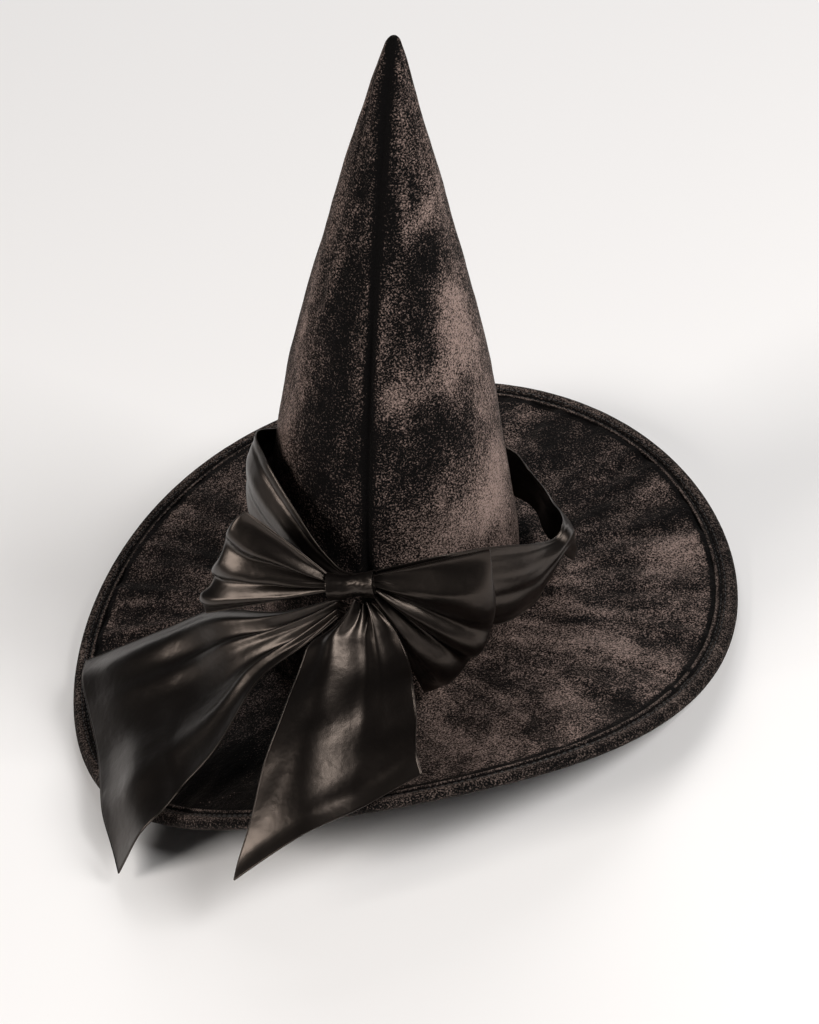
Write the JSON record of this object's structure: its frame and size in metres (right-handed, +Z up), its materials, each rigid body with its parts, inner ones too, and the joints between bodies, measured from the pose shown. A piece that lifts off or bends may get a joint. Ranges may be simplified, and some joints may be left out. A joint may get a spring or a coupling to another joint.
{
  "type": "witch hat",
  "caption": "Child-size pointed hat: leaning velvet cone crown, wide curled brim with bound edge, loose satin sash tied in a bow with hinged loops and tails.",
  "frame": {"origin": "centre of the head opening, in the middle plane of the curled brim, at the sweatband", "axes": "+Z up through the crown, the centre-back seam and the bow face -Y, the crown leans towards +X"},
  "size_m": [0.46, 0.492, 0.4586],
  "materials": {
    "velvet": "black crushed panne velvet with a grey-brown sheen",
    "velvet_binding": "black velvet bias binding with two rows of stitching",
    "satin": "black polyester satin, warm grey highlights",
    "foam": "dark grey sew-in foam interlining",
    "lining": "black polyester lining, plain weave",
    "ribbon": "black ribbed grosgrain ribbon",
    "boning": "flat extruded nylon boning, natural white",
    "crimp": "flat steel crimp sleeve",
    "thread": "black polyester sewing thread"
  },
  "bodies": {
    "hat": {"crown_panel_left": "velvet", "crown_panel_right": "velvet", "crown_interlining": "foam", "crown_lining": "lining", "brim_top": "velvet", "brim_interlining": "foam", "brim_under": "velvet", "brim_edge_binding": "velvet_binding", "brim_hoop": "boning", "brim_hoop_sleeve": "crimp", "sweatband": "ribbon", "sash": "satin", "sash_tacks": "thread", "bow_knot": "satin", "bow_core": "satin", "bow_tacks": "thread"},
    "loop_left": {"bow_loop_left": "satin"},
    "loop_right": {"bow_loop_right": "satin"},
    "tail_left": {"bow_tail_left": "satin"},
    "tail_right": {"bow_tail_right": "satin"}
  },
  "joints": [
    {"name": "tail_left_lift", "type": "hinge", "parent": "hat", "child": "tail_left", "pos_m": [0.002, -0.114, 0.093], "axis": [-0.0427, 0.9991, 0], "range_deg": [0, 25]},
    {"name": "loop_left_raise", "type": "hinge", "parent": "hat", "child": "loop_left", "pos_m": [-0.0073, -0.10289, 0.111], "axis": [0.2588, 0.9659, 0], "range_deg": [0, 25]},
    {"name": "loop_right_raise", "type": "hinge", "parent": "hat", "child": "loop_right", "pos_m": [0.03897, -0.10653, 0.111], "axis": [0.1045, -0.9945, 0], "range_deg": [0, 30]},
    {"name": "tail_right_lift", "type": "hinge", "parent": "hat", "child": "tail_right", "pos_m": [0.02, -0.116, 0.093], "axis": [-0.9879, 0.1552, 0], "range_deg": [0, 45]}
  ],
  "couplings": [
    {"joint": "loop_left_raise", "follows": "tail_left_lift", "ratio": 1}
  ]
}
